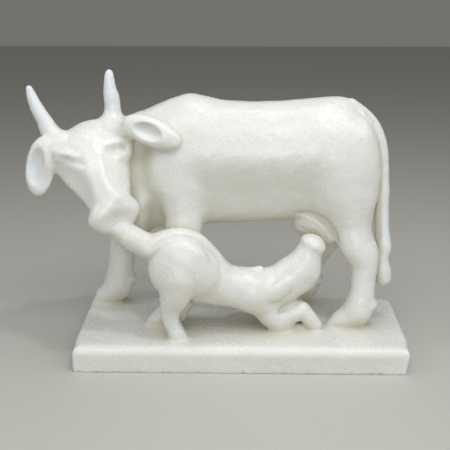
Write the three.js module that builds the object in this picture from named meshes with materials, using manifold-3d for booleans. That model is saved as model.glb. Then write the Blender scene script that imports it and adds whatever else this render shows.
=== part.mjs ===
// A carved white marble cow who turns her head to lick the calf that kneels at her udder.
// Cow, calf and plinth are cut from one block, so the whole work is one solid.
// Millimetres, +Z up. The cow faces -X, the calf stands on her -Y side, and the origin
// is the middle of the plinth's underside.
import * as THREE from "three";
import { edgeTable, triTable } from "three/addons/objects/MarchingCubes.js";
import { mergeVertices } from "three/addons/utils/BufferGeometryUtils.js";
import Module from "manifold-3d";

// Driving dimensions
const PLINTH = { length: 300, depth: 120, height: 24, topRound: 3.5, frontRound: 8, cornerRound: 3 };
const COW_Y = 20; // the cow's middle plane
const NEAR_LEG_Y = -8;
const FAR_LEG_Y = 47;
const GROUND = PLINTH.height;

// How finely the form is sampled, and how many triangles carry it in the end
const GRID_STEP = 2.1;
const TRIANGLES = 9400;

// A form is a function that gives the distance from a point to its surface, negative inside,
// and the box that holds it.
const vec = (x, y, z) => new THREE.Vector3(x, y, z);
const boxOf = (...points) => new THREE.Box3().setFromPoints(points);

// A value between the stations of a list, on a smooth curve through them.
function along(values, place) {
  const i = Math.min(Math.floor(place), values.length - 2);
  const t = place - i;
  const at = (k) => values[THREE.MathUtils.clamp(k, 0, values.length - 1)];
  const [a, b, c, d] = [at(i - 1), at(i), at(i + 1), at(i + 2)];
  const slopeB = (c - a) / 2;
  const slopeC = (d - b) / 2;
  const bend = 3 * (c - b) - 2 * slopeB - slopeC;
  const twist = 2 * (b - c) + slopeB + slopeC;
  return b + t * (slopeB + t * (bend + t * twist));
}

// Distance to an ellipsoid, close enough near its surface.
function toEllipsoid(x, y, z, rx, ry, rz) {
  const near = Math.hypot(x / rx, y / ry, z / rz);
  const steep = Math.hypot(x / rx ** 2, y / ry ** 2, z / rz ** 2);
  return steep > 1e-9 ? (near * (near - 1)) / steep : -Math.min(rx, ry, rz);
}

// An ellipsoid, lying in a frame of its own where one is given.
function ball(centre, radii, frame) {
  const place = (frame ?? new THREE.Matrix4()).clone();
  place.multiply(new THREE.Matrix4().makeTranslation(...centre));
  const back = place.clone().invert();
  const p = vec(0, 0, 0);
  return {
    box: boxOf(vec(...radii), vec(...radii).negate()).applyMatrix4(place),
    distance(x, y, z) {
      p.set(x, y, z).applyMatrix4(back);
      return toEllipsoid(p.x, p.y, p.z, ...radii);
    },
  };
}

// A round limb through stations of [x, y, z, radius]. Where broad isn't 1, it is that
// much wider along Y than its radius.
function limb(stations, { broad = 1, frame, steps = 4 } = {}) {
  const column = (k) => stations.map((s) => s[k]);
  const [xs, ys, zs, rs] = [0, 1, 2, 3].map(column);
  const count = (stations.length - 1) * steps;
  const beads = Array.from({ length: count + 1 }, (_, i) => {
    const place = (i / count) * (stations.length - 1);
    return { c: vec(along(xs, place), along(ys, place), along(zs, place)), r: along(rs, place) };
  });
  const box = new THREE.Box3();
  for (const { c, r } of beads) {
    const reach = vec(r, r * broad, r);
    box.union(boxOf(c.clone().sub(reach), c.clone().add(reach)));
  }
  const back = frame?.clone().invert();
  if (frame) box.applyMatrix4(frame);
  const p = vec(0, 0, 0);
  const links = beads.slice(1).map((end, i) => {
    const start = beads[i];
    const run = end.c.clone().sub(start.c).multiply(vec(1, 1 / broad, 1));
    return { start, end, run, square: Math.max(run.lengthSq(), 1e-9) };
  });
  return {
    box,
    distance(x, y, z) {
      p.set(x, y, z);
      if (back) p.applyMatrix4(back);
      let nearest = Infinity;
      for (const { start, end, run, square } of links) {
        const [dx, dy, dz] = [p.x - start.c.x, (p.y - start.c.y) / broad, p.z - start.c.z];
        const t = THREE.MathUtils.clamp((dx * run.x + dy * run.y + dz * run.z) / square, 0, 1);
        const gap = Math.hypot(dx - t * run.x, dy - t * run.y, dz - t * run.z);
        nearest = Math.min(nearest, gap - start.r - t * (end.r - start.r));
      }
      return nearest * Math.min(1, broad);
    },
  };
}

// A trunk along X through stations of [x, middle y, top, bottom, half width].
function trunk(stations) {
  const [xs, ys, tops, bottoms, halves] = [0, 1, 2, 3, 4].map((k) => stations.map((s) => s[k]));
  const [first, last] = [xs[0], xs[xs.length - 1]];
  const widest = Math.max(...halves);
  return {
    box: boxOf(
      vec(first, Math.min(...ys) - widest, Math.min(...bottoms) - 4),
      vec(last, Math.max(...ys) + widest, Math.max(...tops) + 4),
    ),
    distance(x, y, z) {
      const within = THREE.MathUtils.clamp(x, first, last);
      let k = 0;
      while (k < xs.length - 2 && within > xs[k + 1]) k += 1;
      const place = k + (within - xs[k]) / (xs[k + 1] - xs[k]);
      const [top, bottom] = [along(tops, place), along(bottoms, place)];
      const side = toEllipsoid(0, y - along(ys, place), z - (top + bottom) / 2,
        1, along(halves, place), (top - bottom) / 2);
      return Math.hypot(Math.max(side, 0), x - within) + Math.min(side, 0);
    },
  };
}

// The plinth: a slab with rounded corners and a rounded upper edge, rounder along the front. It runs
// on below z = 0, to be sawn off there.
const SPARE = 2 * GRID_STEP;
function slab({ length, depth, height, topRound, frontRound, cornerRound }) {
  return {
    box: boxOf(vec(-length / 2, -depth / 2, -SPARE), vec(length / 2, depth / 2, height)),
    distance(x, y, z) {
      const qx = Math.abs(x) - length / 2 + cornerRound;
      const qy = Math.abs(y) - depth / 2 + cornerRound;
      const corner = Math.hypot(Math.max(qx, 0), Math.max(qy, 0)) + Math.min(Math.max(qx, qy), 0);
      const frontness = THREE.MathUtils.clamp((-y - 0.3 * depth) / (0.12 * depth), 0, 1);
      const round = THREE.MathUtils.lerp(topRound, frontRound, frontness);
      const side = corner - cornerRound + round;
      const lid = z - height + round;
      const edge = Math.hypot(Math.max(side, 0), Math.max(lid, 0)) - round;
      return Math.max(edge + Math.min(Math.max(side, lid), 0), -SPARE - z);
    },
  };
}

// The block: forms are added and carved away in order, and blend says how softly each meets the last.
const work = [];
const add = (form, blend) => work.push({ form, blend, sign: 1 });
const carve = (form, blend) => work.push({ form, blend, sign: -1 });

// One cow leg: the limb from body to fetlock, its dewclaws, and a hoof that runs out low to -X.
function cowLeg(stations, y, toe) {
  add(limb(stations), 10);
  const [ankleX, , ankleZ, ankleR] = stations[stations.length - 1];
  add(limb([
    [ankleX - 1, y, ankleZ - 8, ankleR - 1.5],
    [(ankleX + toe) / 2, y, GROUND + 7, ankleR - 4],
    [toe + 6, y, GROUND + 1.5, 5.5],
  ]), 6);
  add(ball([ankleX + ankleR - 2, y, ankleZ + 2], [5, 9, 5]), 4);
}

function cowBody() {
  add(trunk([
    [-92, COW_Y, 213, 117, 25],
    [-74, COW_Y, 225, 112, 32],
    [-60, COW_Y, 233, 113, 35],
    [-47, COW_Y, 237.3, 115, 36.5],
    [-34, COW_Y, 235.5, 116, 37.5],
    [-20, COW_Y, 232, 117, 38],
    [5, COW_Y, 230.5, 118.5, 39],
    [38, COW_Y, 231, 121, 39],
    [70, COW_Y, 234, 124, 38],
    [92, COW_Y, 234.5, 128, 33],
    [108, COW_Y, 226, 134, 24],
  ]), 6);
  for (const side of [-1, 1]) {
    // The flank draws in towards the belly.
    const y = COW_Y + side * 106;
    carve(limb([[-40, y, 128, 80], [66, y, 130, 79]], { steps: 1 }), 14);
    add(ball([-64, COW_Y + side * 16, 168], [27, 20, 44]), 12);
    add(ball([93, COW_Y + side * 16, 168], [33, 22, 50]), 8);
    add(ball([99, COW_Y + side * 9, 197], [20, 14, 22]), 12);
  }
  add(ball([-98, COW_Y - 4, 148], [24, 23, 46]), 10);
  // The dewlap's fold beside the jaw
  add(limb([[-94, 4, 176, 6], [-92, 0, 158, 7.5], [-91, -2, 140, 8], [-91, 1, 120, 7]]), 10);
}

function cowLegs() {
  cowLeg([
    [-54.5, 4, 152, 20], [-53.5, -1, 128, 18], [-55, NEAR_LEG_Y, 106, 17.3], [-57, NEAR_LEG_Y, 88, 15.2],
    [-59, NEAR_LEG_Y, 72, 13], [-60, NEAR_LEG_Y, 56, 12], [-60, NEAR_LEG_Y, 45, 13],
  ], NEAR_LEG_Y, -89);
  cowLeg([
    [-100, 34, 140, 24], [-110, 41, 112, 17], [-116, FAR_LEG_Y, 90, 13], [-117.5, FAR_LEG_Y, 72, 12.5],
    [-119.5, FAR_LEG_Y, 58, 13], [-121, FAR_LEG_Y, 47, 14],
  ], FAR_LEG_Y, -148);
  cowLeg([
    [100, 8, 144, 22], [102.5, 2, 120, 17], [105.8, -2, 104, 16.4], [111, -4, 95, 15.4],
    [113.4, -6.5, 85, 12.4], [113, NEAR_LEG_Y, 70, 11.2], [112.5, NEAR_LEG_Y, 56, 12],
    [110.5, NEAR_LEG_Y, 45, 13.5],
  ], NEAR_LEG_Y, 80);
  cowLeg([
    [102, 36, 140, 25], [96, 41, 112, 17], [84, 45, 92, 13.5], [74.5, FAR_LEG_Y, 74, 11.5],
    [69, FAR_LEG_Y, 58, 11], [67, FAR_LEG_Y, 48, 12],
  ], FAR_LEG_Y, 36);
  // The groove between brisket and foreleg deepens downward.
  carve(limb([[-80, -22, 156, 3.5], [-78.5, -14, 140, 5.5], [-77.5, -7, 124, 6.5], [-78, -2, 110, 7]]), 9);
}

// The udder lies in a hollow under the arch of the thigh, with the fold of the far thigh behind it.
function cowUdder() {
  carve(ball([63, -14, 108], [25, 18, 29]), 2);
  add(ball([74, 13, 124], [27, 13, 24]), 4);
  add(limb([[62, 9, 132, 5], [72, 8, 123, 6.5], [81, 7, 108, 7]]), 7);
}

// The head has a frame of its own: X runs down the nose from the poll to the muzzle, Y to the side
// of her left ear, and Z out of the forehead.
const POLL = vec(-139, -12, 218.5);
const MUZZLE = vec(-104, -54, 155.5);
const HEAD_SIDE = vec(51, 21, 5);
const HEAD_LENGTH = POLL.distanceTo(MUZZLE);
function headFrame() {
  const nose = MUZZLE.clone().sub(POLL).normalize();
  const brow = nose.clone().cross(HEAD_SIDE).normalize();
  return new THREE.Matrix4().makeBasis(nose, brow.clone().cross(nose), brow).setPosition(POLL);
}

function cowHead() {
  const head = headFrame();
  add(limb([
    [-66, COW_Y, 186, 40], [-84, 19, 186, 35], [-100, 16, 187, 30.5], [-116, 11, 188, 28],
    [-130, 3, 191, 25],
  ], { broad: 0.7 }), 12);
  // The neck draws back behind the cheek and under the ear.
  carve(limb([[-90, -9, 202, 10], [-94, -10, 189, 11], [-95, -16, 172, 9], [-94, -23, 155, 7]]), 14);
  add(ball([20, 1, -24], [25, 35.5, 21], head), 5);
  add(limb([
    [22, 1.5, -26, 26], [34, 1.5, -24.5, 24], [48, 1, -22, 20], [60, 0, -19.5, 17],
    [HEAD_LENGTH - 10, -1, -18, 14],
  ], { broad: 1.32, frame: head }), 4);
  add(ball([42, 1, -38], [28, 19, 17], head), 6);
  // The bridge of the nose stands between two slanting sides.
  add(limb([
    [24, -1, -8, 6.5], [44, -2, -7.5, 6], [60, -1, -7.5, 5.5], [76, 2, -8.5, 6],
  ], { broad: 1.8, frame: head }), 4);
  for (const side of [-1, 1]) {
    carve(ball([58, side * 29, 6], [21, 16.5, 15], head), 3.5);
    add(ball([25, side * 21, -11.5], [5, 12, 6], head), 5);
    carve(ball([34, side * 22, -2], [4.5, 10, 4.5], head), 4);
  }
  // The muzzle ends in a flat oval that looks forward and down the nose.
  const muzzle = head.clone()
    .multiply(new THREE.Matrix4().makeRotationY(-0.67).setPosition(HEAD_LENGTH + 1, -1.5, -20.5));
  add(ball([0, 0, 0], [12, 23.5, 17], muzzle), 3);
  carve(ball([19.5, 0, 0], [10, 30, 22], muzzle), 3);
}

function cowHorns() {
  add(limb([
    [-162, -9, 198, 11], [-169.5, -8, 209, 7.5], [-173, -8, 217, 5.6], [-176.8, -8, 224.5, 5],
    [-180.6, -8, 233.7, 4.8], [-182.6, -8, 240, 3.6], [-184.2, -8, 245.6, 2.2],
  ]), 5);
  add(limb([
    [-115, 4, 207, 11], [-114.9, 7, 218.5, 7.8], [-115.2, 8, 227, 6.6], [-115.6, 8, 236, 6.2],
    [-116.3, 8, 242.5, 5.2], [-116.6, 8, 251.5, 3.7], [-116.6, 8, 257.6, 2.5],
  ]), 7);
}

// A leaf of stone, such as an ear: its frame's X runs from root to tip, Z across, and Y away
// from the side that it faces.
function leafFrame(middle, toTip, facing) {
  const x = vec(...toTip).normalize();
  const z = x.clone().cross(vec(...facing).negate()).normalize();
  return new THREE.Matrix4().makeBasis(x, z.clone().cross(x), z).setPosition(vec(...middle));
}

// A leaf with a hollow in it, which leans to one side by a share of the leaf's width.
function cuppedEar(middle, toTip, facing, radii, lean) {
  const leaf = leafFrame(middle, toTip, facing);
  const [length, thick, wide] = radii;
  add(ball([0, 0, 0], radii, leaf), 3);
  carve(ball([-0.14 * length, -1.1 * thick, lean * wide], [0.58 * length, thick, 0.54 * wide], leaf), 1.5);
}

function cowEars() {
  add(limb([[-111, -2, 208, 10.5], [-96, -10, 211.5, 11]]), 7);
  cuppedEar([-77.5, -17, 209.5], [38, -4, -15], [-0.1, -1, 0.2], [27, 7.5, 12.5], 0);
  add(limb([[-158, -12, 198, 11], [-169, -17, 195, 8]]), 4);
  cuppedEar([-176, -20, 179], [-10, -3, -51], [-0.25, -1, 0.1], [27, 7.5, 13.5], -0.16);
}

function cowTail() {
  add(limb([
    [98, COW_Y, 226, 7.5], [112, COW_Y, 216, 7], [122.5, COW_Y, 202, 6.7], [127.5, 19, 185, 6.4],
    [129.8, 17, 160, 6.2], [131, 14, 130, 6], [132, 11, 108, 6],
  ], { broad: 1.1 }), 1.6);
  add(limb([[132, 11, 108, 6], [133.5, 9, 98, 7], [132, 8, 86, 6.5], [133, 7, 74, 8], [134, 7, 67, 8]]), 2);
}

function calfBody() {
  add(trunk([
    [-68, -36, 117, 84, 15],
    [-48, -31, 121, 62, 18],
    [-32, -27, 112, 55, 18.5],
    [-12, -22, 91, 49.5, 17.5],
    [6, -18, 85, 45.5, 17],
    [26, -13, 82, 46, 15],
  ]), 5);
  add(ball([-58, -36, 96], [24, 17, 24]), 8);
  // The spine stands proud of the haunch as a rounded band.
  add(limb([
    [-80, -39, 111.5, 9], [-67, -38, 118.5, 8], [-53, -36, 120.5, 7.5], [-39, -32, 114.5, 7.5],
    [-27, -28, 102, 7], [-15, -24, 86.5, 6],
  ], { broad: 1.4 }), 3);
  add(ball([-54, -43, 93.5], [27.5, 13.5, 28]), 1.5);
  add(ball([-36, -40, 84], [16, 11.5, 18]), 5);
  // The tail is raised to the cow's muzzle.
  add(limb([[-68, -37, 106, 11], [-84, -37, 113, 11], [-96, -38, 120, 11], [-105, -39, 128, 10]]), 3);
}

function calfLegs() {
  for (const [y, slim] of [[-39, 0], [-26, 2]]) {
    add(limb([
      [-54 - slim, y - 2, 84, 17 - slim], [-58 - slim, y - 1, 68, 14.5 - slim], [-61.5, y, 57, 10.5 - slim],
      [-63, y, 47, 8 - slim / 2], [-61.5, y, 38, 7 - slim / 2], [-58 - slim, y, 30, 6.8 - slim / 2],
    ]), 4);
    add(limb([[-58 - slim, y, 29, 7 - slim / 2], [-55 - slim, y, 26, 6.5 - slim / 2]]), 3);
  }
  add(ball([12, -24, 62], [14, 12, 18]), 8);
  for (const [y, shift] of [[-17.5, 0], [-5, -5]]) {
    add(limb([
      [14 + shift, y - 2, 62, 16], [21 + shift, y, 50, 13.5], [28 + shift, y, 39, 11.5],
      [35 + shift, y, 34, 10.5],
    ]), 5);
    add(ball([42 + shift, y, 29], [8, 8, 8]), 3);
    add(limb([[35 + shift, y, 31, 10], [45 + shift, y, 38.5, 9.5], [55 + shift, y, 43, 8.5]]), 3);
    add(limb([
      [56.5 + shift, y, 43.5, 8], [62 + shift, y, 37, 7], [66 + shift, y, 31, 6], [69 + shift, y, 27.5, 5],
    ]), 2);
  }
  // The chest stands over the foreleg.
  carve(limb([[37, -32, 45, 4.5], [49, -28, 51.5, 4.5]]), 3);
}

function calfHead() {
  add(limb([
    [20, -14, 60, 18], [34, -13, 65, 19], [47, -12, 75, 18.5], [57, -11, 85, 15],
  ], { broad: 0.85 }), 6);
  add(limb([[57, -11, 84, 15], [60.5, -10, 93, 13.2], [62.8, -10, 99, 11.8], [65, -10, 103, 11.3]]), 4);
  add(ball([56, -12, 78], [15.5, 12, 17]), 6);
  const muzzle = new THREE.Matrix4().makeRotationY(0.49).setPosition(65.8, -10, 106);
  add(ball([0, 0, 0], [12.3, 12.3, 7.2], muzzle), 2);
  add(ball([16, -15, 82], [5.5, 8, 6]), 2.5);
  add(ball([0, 0, 0], [14, 5, 8], leafFrame([35.5, -31, 68.5], [-17, -2, -16], [0.3, -1, -0.1])), 1.5);
}

// Blends two distances where they come within k of each other.
function meet(a, b, k) {
  const h = Math.max(k - Math.abs(a - b), 0) / k;
  return Math.min(a, b) - (h * h * k) / 4;
}

// Samples the block on a grid, each form only in the box that it can change.
function sample() {
  const reach = new THREE.Box3();
  for (const { form, sign } of work) if (sign > 0) reach.union(form.box);
  reach.expandByScalar(2 * GRID_STEP);
  const low = reach.min.divideScalar(GRID_STEP).floor();
  const size = reach.max.divideScalar(GRID_STEP).ceil().sub(low).addScalar(1);
  const field = new Float32Array(size.x * size.y * size.z).fill(4 * GRID_STEP);
  for (const { form, blend, sign } of work) {
    const box = form.box.clone().expandByScalar(blend + 2 * GRID_STEP);
    const from = box.min.divideScalar(GRID_STEP).floor().sub(low).max(vec(0, 0, 0));
    const to = box.max.divideScalar(GRID_STEP).ceil().sub(low).min(size.clone().subScalar(1));
    for (let k = from.z; k <= to.z; k += 1)
      for (let j = from.y; j <= to.y; j += 1)
        for (let i = from.x; i <= to.x; i += 1) {
          const n = i + size.x * (j + size.y * k);
          const d = form.distance((i + low.x) * GRID_STEP, (j + low.y) * GRID_STEP, (k + low.z) * GRID_STEP);
          field[n] = sign > 0 ? meet(field[n], d, blend) : -meet(-field[n], d, blend);
        }
  }
  return { field, size, low };
}

// The corners of a grid cell, and the two corners of each of its edges, in the order of the tables.
const CORNERS = [[0, 0, 0], [1, 0, 0], [1, 1, 0], [0, 1, 0], [0, 0, 1], [1, 0, 1], [1, 1, 1], [0, 1, 1]];
const EDGES = [[0, 1], [1, 2], [3, 2], [0, 3], [4, 5], [5, 6], [7, 6], [4, 7], [0, 4], [1, 5], [2, 6], [3, 7]];

// The block's surface as shared vertices and triangles, by marching cubes.
function surface({ field, size, low }) {
  const points = [];
  const faces = [];
  const made = new Map();
  const index = (i, j, k) => i + size.x * (j + size.y * k);
  const vertex = (i, j, k, edge) => {
    const [a, b] = EDGES[edge].map((c) => CORNERS[c]);
    const axis = b.findIndex((v, m) => v !== a[m]);
    const [x, y, z] = [i + a[0], j + a[1], k + a[2]];
    const key = index(x, y, z) * 3 + axis;
    if (!made.has(key)) {
      const start = field[index(x, y, z)];
      const end = field[index(i + b[0], j + b[1], k + b[2])];
      const p = [x + low.x, y + low.y, z + low.z];
      p[axis] += THREE.MathUtils.clamp(start / (start - end), 0.08, 0.92);
      made.set(key, points.push(p.map((v) => v * GRID_STEP)) - 1);
    }
    return made.get(key);
  };
  for (let k = 0; k < size.z - 1; k += 1)
    for (let j = 0; j < size.y - 1; j += 1)
      for (let i = 0; i < size.x - 1; i += 1) {
        let kind = 0;
        CORNERS.forEach(([x, y, z], c) => {
          if (field[index(i + x, j + y, k + z)] < 0) kind |= 1 << c;
        });
        if (!edgeTable[kind]) continue;
        for (let n = kind * 16; triTable[n] >= 0; n += 3)
          faces.push([0, 2, 1].map((m) => vertex(i, j, k, triTable[n + m])));
      }
  return { points, faces };
}

// Joins vertices pair by pair, cheapest first by the squared distance to the planes around them,
// until few enough triangles carry the form.
function simplify({ points, faces }, wanted) {
  const fans = points.map(() => new Set());
  faces.forEach((face, f) => face.forEach((v) => fans[v].add(f)));
  const normalOf = ([a, b, c]) => {
    const [p, q, r] = [a, b, c].map((v) => points[v]);
    const u = [q[0] - p[0], q[1] - p[1], q[2] - p[2]];
    const w = [r[0] - p[0], r[1] - p[1], r[2] - p[2]];
    return [u[1] * w[2] - u[2] * w[1], u[2] * w[0] - u[0] * w[2], u[0] * w[1] - u[1] * w[0]];
  };
  // Each vertex sums its planes: ten numbers of a symmetric matrix.
  const sums = points.map(() => new Float64Array(10));
  for (const face of faces) {
    const n = normalOf(face);
    const size = Math.hypot(...n) || 1;
    const [a, b, c] = n.map((v) => v / size);
    const [x, y, z] = points[face[0]];
    const d = -(a * x + b * y + c * z);
    const plane = [a * a, a * b, a * c, a * d, b * b, b * c, b * d, c * c, c * d, d * d];
    for (const v of face) plane.forEach((value, i) => { sums[v][i] += (value * size) / 2; });
  }
  const cost = (s, [x, y, z]) => s[0] * x * x + 2 * s[1] * x * y + 2 * s[2] * x * z + 2 * s[3] * x
    + s[4] * y * y + 2 * s[5] * y * z + 2 * s[6] * y + s[7] * z * z + 2 * s[8] * z + s[9];
  // The point with the least cost, where the planes settle it, or else the middle of the edge.
  function bestPlace(s, a, b) {
    const m = new THREE.Matrix3().set(s[0], s[1], s[2], s[1], s[4], s[5], s[2], s[5], s[7]);
    const trace = s[0] + s[4] + s[7];
    const middle = a.map((v, i) => (v + b[i]) / 2);
    if (Math.abs(m.determinant()) < 1e-4 * trace ** 3) return middle;
    const p = vec(-s[3], -s[6], -s[8]).applyMatrix3(m.invert()).toArray();
    const far = Math.hypot(...p.map((v, i) => v - middle[i]));
    return far < 1.5 * Math.hypot(...a.map((v, i) => v - b[i])) ? p : middle;
  }
  const heap = [];
  const stamp = new Uint32Array(points.length);
  function push(item) {
    let i = heap.push(item) - 1;
    while (i > 0 && heap[(i - 1) >> 1].price > item.price) {
      heap[i] = heap[(i - 1) >> 1];
      i = (i - 1) >> 1;
    }
    heap[i] = item;
  }
  function pop() {
    const top = heap[0];
    const item = heap.pop();
    if (!heap.length) return top;
    let i = 0;
    for (;;) {
      let child = 2 * i + 1;
      if (child >= heap.length) break;
      if (child + 1 < heap.length && heap[child + 1].price < heap[child].price) child += 1;
      if (heap[child].price >= item.price) break;
      heap[i] = heap[child];
      i = child;
    }
    heap[i] = item;
    return top;
  }
  const around = (v) => {
    const found = new Set();
    for (const f of fans[v]) for (const w of faces[f]) if (w !== v) found.add(w);
    return found;
  };
  function offer(a, b) {
    const s = sums[a].map((v, i) => v + sums[b][i]);
    const place = bestPlace(s, points[a], points[b]);
    const length = Math.hypot(...points[a].map((v, i) => v - points[b][i]));
    push({ a, b, place, price: cost(s, place) + 1e-4 * length ** 2, when: stamp[a] + stamp[b] });
  }
  // How far a face is from a sliver: twice its area over its longest side squared.
  function fullness(face, normal) {
    const [p, q, r] = face.map((w) => points[w]);
    const side = (u, w) => (u[0] - w[0]) ** 2 + (u[1] - w[1]) ** 2 + (u[2] - w[2]) ** 2;
    return Math.hypot(...normal) / Math.max(side(p, q), side(q, r), side(r, p));
  }
  // The faces of v still face the same way, and aren't slivers, once v stands at place.
  function holds(v, gone, place) {
    const old = points[v];
    for (const f of fans[v]) {
      if (faces[f].includes(gone)) continue;
      const before = normalOf(faces[f]);
      const wasFull = fullness(faces[f], before);
      points[v] = place;
      const after = normalOf(faces[f]);
      const full = fullness(faces[f], after);
      points[v] = old;
      const turn = before[0] * after[0] + before[1] * after[1] + before[2] * after[2];
      if (turn < 0.3 * Math.hypot(...before) * Math.hypot(...after)) return false;
      if (full < 0.06 && full < wasFull) return false;
    }
    return true;
  }
  points.forEach((_, a) => { for (const b of around(a)) if (a < b) offer(a, b); });
  let left = faces.length;
  while (left > wanted && heap.length) {
    const { a, b, place, when } = pop();
    if (!fans[a].size || !fans[b].size || when !== stamp[a] + stamp[b]) continue;
    const ofB = around(b);
    if ([...around(a)].filter((v) => ofB.has(v)).length !== 2) continue;
    if (!holds(a, b, place) || !holds(b, a, place)) continue;
    points[a] = place;
    sums[b].forEach((v, i) => { sums[a][i] += v; });
    for (const f of [...fans[b]]) {
      if (faces[f].includes(a)) {
        for (const v of faces[f]) if (v !== b) fans[v].delete(f);
        faces[f] = null;
        left -= 1;
      } else {
        faces[f] = faces[f].map((v) => (v === b ? a : v));
        fans[a].add(f);
      }
    }
    fans[b].clear();
    stamp[a] += 1;
    for (const v of around(a)) {
      stamp[v] += 1;
    }
    for (const v of around(a)) for (const w of around(v)) if (v < w || w === a) offer(v, w);
  }
  return { points, faces: faces.filter(Boolean) };
}

function geometryOf({ points, faces }) {
  const geometry = new THREE.BufferGeometry();
  geometry.setAttribute("position", new THREE.Float32BufferAttribute(points.flat(), 3));
  geometry.setIndex(faces.flat());
  return geometry;
}

const wasm = await Module();
wasm.setup();

function solidOf(geometry) {
  const bare = geometry.clone();
  bare.deleteAttribute("normal");
  bare.deleteAttribute("uv");
  const merged = mergeVertices(bare, 1e-5);
  return new wasm.Manifold(new wasm.Mesh({
    numProp: 3,
    vertProperties: merged.attributes.position.array,
    triVerts: new Uint32Array(merged.index.array),
  }));
}

// The underside is sawn flat at z = 0.
function sawnFlat(geometry) {
  const waste = new THREE.BoxGeometry(2 * PLINTH.length, 2 * PLINTH.depth, 100).translate(0, 0, -50);
  const mesh = solidOf(geometry).subtract(solidOf(waste)).getMesh();
  const sawn = new THREE.BufferGeometry();
  sawn.setAttribute("position", new THREE.BufferAttribute(mesh.vertProperties, 3));
  sawn.setIndex(new THREE.BufferAttribute(mesh.triVerts, 1));
  sawn.computeVertexNormals();
  return sawn;
}

cowBody();
cowLegs();
cowUdder();
cowHead();
cowHorns();
cowEars();
cowTail();
calfBody();
calfLegs();
calfHead();
add(slab(PLINTH), 5);

const marble = new THREE.MeshStandardMaterial({ color: 0xe9e8e1, roughness: 0.35, metalness: 0 });
const statue = new THREE.Mesh(sawnFlat(geometryOf(simplify(surface(sample()), TRIANGLES))), marble);
statue.name = "cow_and_calf";

const group = new THREE.Group();
group.add(statue);
export default group;
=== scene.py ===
"""A carved white marble cow who turns to lick her calf, cut with its plinth from one block.

The stone is worked as a carver works it: rounded forms are joined and hollows are cut on a fine
grid of distances, the surface of that grid becomes the mesh, and polished marble is laid on it.
The forms' numbers are millimetres in the part's own frame: +Z up, the cow faces -X, the calf
kneels on her -Y side, and the origin is the middle of the plinth's underside.
"""
import math

import bpy
import bmesh
import numpy as np
import openvdb
from mathutils import Euler, Matrix, Vector


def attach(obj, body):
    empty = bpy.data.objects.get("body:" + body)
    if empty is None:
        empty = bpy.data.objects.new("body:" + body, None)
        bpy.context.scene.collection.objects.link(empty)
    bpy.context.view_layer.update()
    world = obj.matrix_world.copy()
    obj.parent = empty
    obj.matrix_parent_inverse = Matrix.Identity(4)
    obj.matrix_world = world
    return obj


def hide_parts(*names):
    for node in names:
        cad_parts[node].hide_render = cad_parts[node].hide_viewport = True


bl_info = {
    "name": "Marble cow and calf",
    "version": (1, 0, 0),
    "blender": (4, 5, 0),
    "location": "View3D > Sidebar > Marble cow",
    "description": "Carves and polishes a marble cow with her calf, and lights it in a studio",
    "category": "Object",
}

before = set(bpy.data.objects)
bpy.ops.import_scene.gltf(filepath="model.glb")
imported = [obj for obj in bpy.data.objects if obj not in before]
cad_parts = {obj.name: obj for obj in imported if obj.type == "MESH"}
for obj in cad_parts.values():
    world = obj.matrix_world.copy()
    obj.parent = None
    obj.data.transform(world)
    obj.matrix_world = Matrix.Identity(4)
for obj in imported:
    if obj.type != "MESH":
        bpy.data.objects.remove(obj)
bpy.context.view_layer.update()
NODE = "cow_and_calf"
MM = 0.001

# Driving dimensions, in millimetres
PLINTH = {
    "length": 300,
    "depth": 120,
    "height": 24,
    "top_round": 3.5,
    "front_round": 8,
    "corner_round": 3,
}
END_OVERHANG = 1.5
END_LEAN = 3.5
REAR_CORNER_ROUND = 12
COW_Y = 20
NEAR_LEG_Y = -8
FAR_LEG_Y = 47
GROUND = PLINTH["height"]

# Air that no form comes near counts as this far from the stone.
UNTOUCHED = 8.4
# The stone runs on this far below z = 0 until it is sawn flat.
SPARE = 4.2
# The curve through a trunk's stations can swell this far past them.
SWELL = 4


# Forms, each with a box that holds it and parts that give the distance to their surface

def along(values, place):
    """A value between the stations of a list, on a smooth curve through them."""
    i = min(int(math.floor(place)), len(values) - 2)
    t = place - i
    a, b, c, d = (values[min(max(k, 0), len(values) - 1)] for k in (i - 1, i, i + 1, i + 2))
    slope_b = (c - a) / 2
    slope_c = (d - b) / 2
    bend = 3 * (c - b) - 2 * slope_b - slope_c
    twist = 2 * (b - c) + slope_b + slope_c
    return b + t * (slope_b + t * (bend + t * twist))


def to_ellipsoid(x, y, z, rx, ry, rz):
    """Distance to an ellipsoid, negative inside and close enough near its surface."""
    near = np.sqrt((x / rx) ** 2 + (y / ry) ** 2 + (z / rz) ** 2)
    steep = np.sqrt((x / rx ** 2) ** 2 + (y / ry ** 2) ** 2 + (z / rz ** 2) ** 2)
    return near * (near - 1) / np.maximum(steep, 1e-6)


def moved(matrix, x, y, z):
    """The grid's points seen from a turned frame."""
    return [row[0] * x + row[1] * y + row[2] * z + row[3] for row in matrix[:3]]


def box_of(points, matrix=None):
    """The lowest and highest corner of points that may lie in a frame of their own."""
    points = [matrix @ Vector(point) if matrix else Vector(point) for point in points]
    low = np.array([min(point[k] for point in points) for k in range(3)])
    high = np.array([max(point[k] for point in points) for k in range(3)])
    return low, high


def corners(low, high):
    return [(x, y, z) for x in (low[0], high[0]) for y in (low[1], high[1]) for z in (low[2], high[2])]


class Ball:
    """An ellipsoid, lying in a frame of its own where one is given."""

    def __init__(self, centre, radii, within=None):
        place = (within or Matrix.Identity(4)) @ Matrix.Translation(centre)
        self.back = place.inverted()
        self.radii = radii
        self.box = box_of(corners([-r for r in radii], radii), place)
        self.parts = [self]

    def distance(self, x, y, z):
        return to_ellipsoid(*moved(self.back, x, y, z), *self.radii)


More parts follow.
